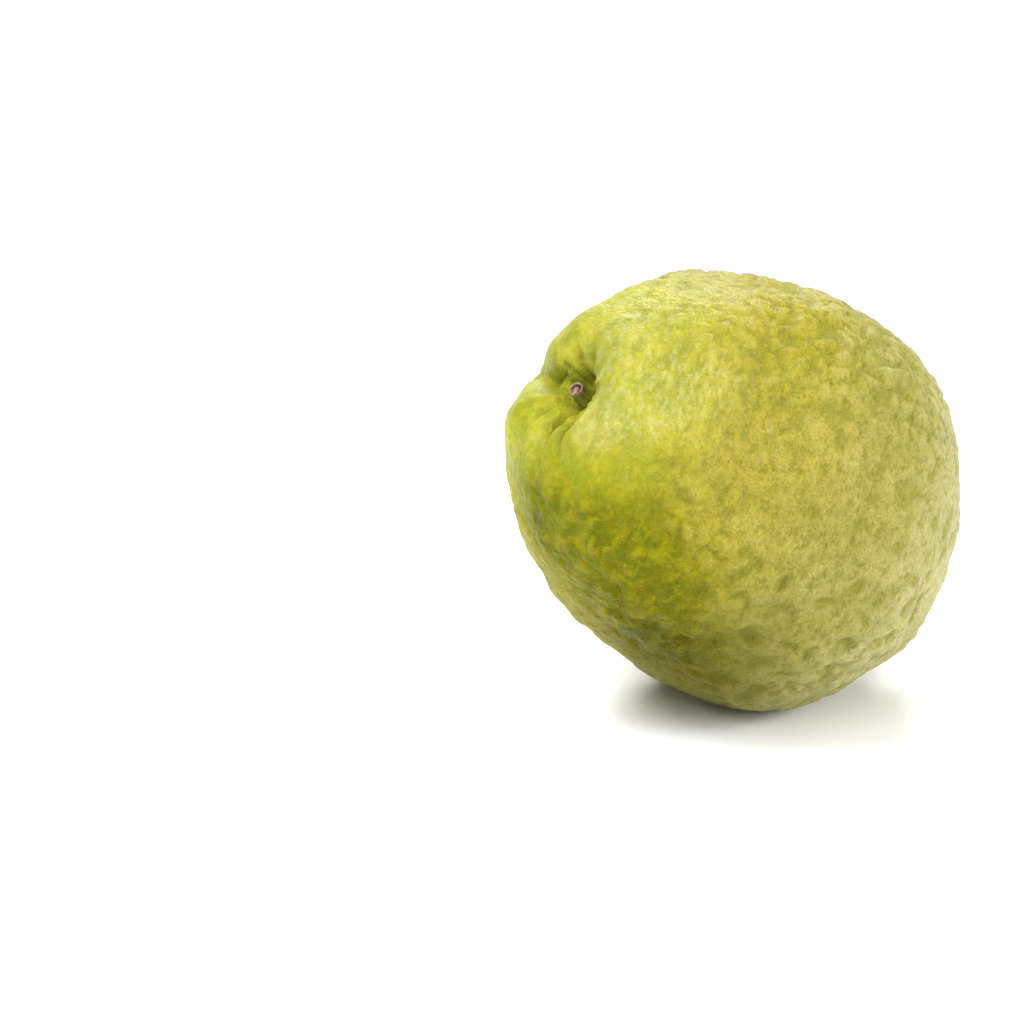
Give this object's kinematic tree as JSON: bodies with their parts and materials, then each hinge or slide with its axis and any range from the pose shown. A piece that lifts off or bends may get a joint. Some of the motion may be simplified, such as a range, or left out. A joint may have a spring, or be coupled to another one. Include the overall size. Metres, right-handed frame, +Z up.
{
  "type": "guava",
  "caption": "Whole lumpy yellow-green guava lying on its side, with a folded stalk pit, a cut stalk stub and a dried calyx at the blossom end.",
  "frame": {"origin": "on the flat spot that the fruit rests on, straight below its centre of mass", "axes": "+Z up; the fruit's own axis lies in the XZ plane, with the stalk end towards -X and 38 degrees up, and the blossom end towards +X and down"},
  "size_m": [0.0936, 0.086, 0.0888],
  "materials": {
    "guava_skin": "waxy fruit skin, yellow-green, finely pored and lumpy, with a soft sheen",
    "stalk_wood": "green bark with a brown cut end",
    "dried_calyx": "dry brown leaf, wrinkled and matte"
  },
  "bodies": {
    "root": {"fruit_body": "guava_skin", "stalk": "stalk_wood", "calyx_lobe_1": "dried_calyx", "calyx_lobe_2": "dried_calyx", "calyx_lobe_3": "dried_calyx", "calyx_lobe_4": "dried_calyx", "calyx_lobe_5": "dried_calyx", "style_remnant": "dried_calyx"}
  },
  "joints": []
}
